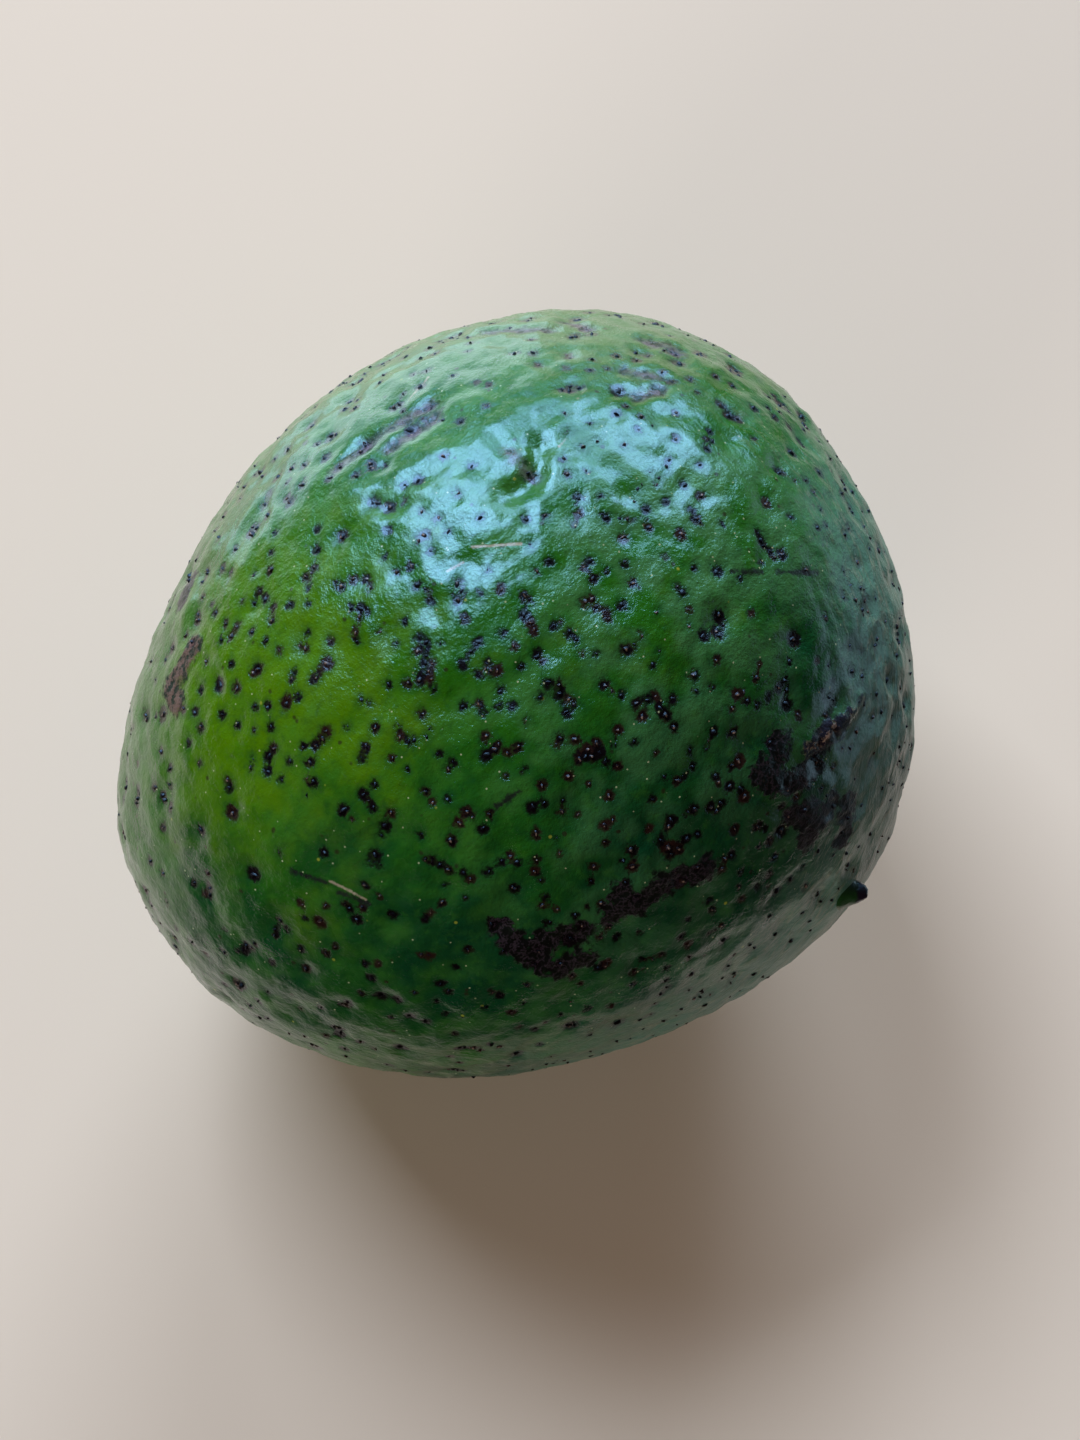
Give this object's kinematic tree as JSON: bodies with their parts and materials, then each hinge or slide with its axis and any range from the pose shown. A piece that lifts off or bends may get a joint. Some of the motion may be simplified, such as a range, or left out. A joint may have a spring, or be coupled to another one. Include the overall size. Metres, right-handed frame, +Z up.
{
  "type": "avocado",
  "caption": "Whole large round green avocado lying on its side, with glossy pebbled skin, dark corky pores, a small dark point at the blossom end and a round stem scar.",
  "frame": {"origin": "middle of the small flat spot that the fruit rests on", "axes": "+Z up, +X along the fruit from the stem end to the blossom end, +Y across it; the point of the flower is on the -Y side"},
  "size_m": [0.1165, 0.1042, 0.0991],
  "materials": {
    "skin": "glossy leathery peel, deep green to lime, with black-brown corky pores"
  },
  "bodies": {
    "root": {"avocado": "skin"}
  },
  "joints": []
}
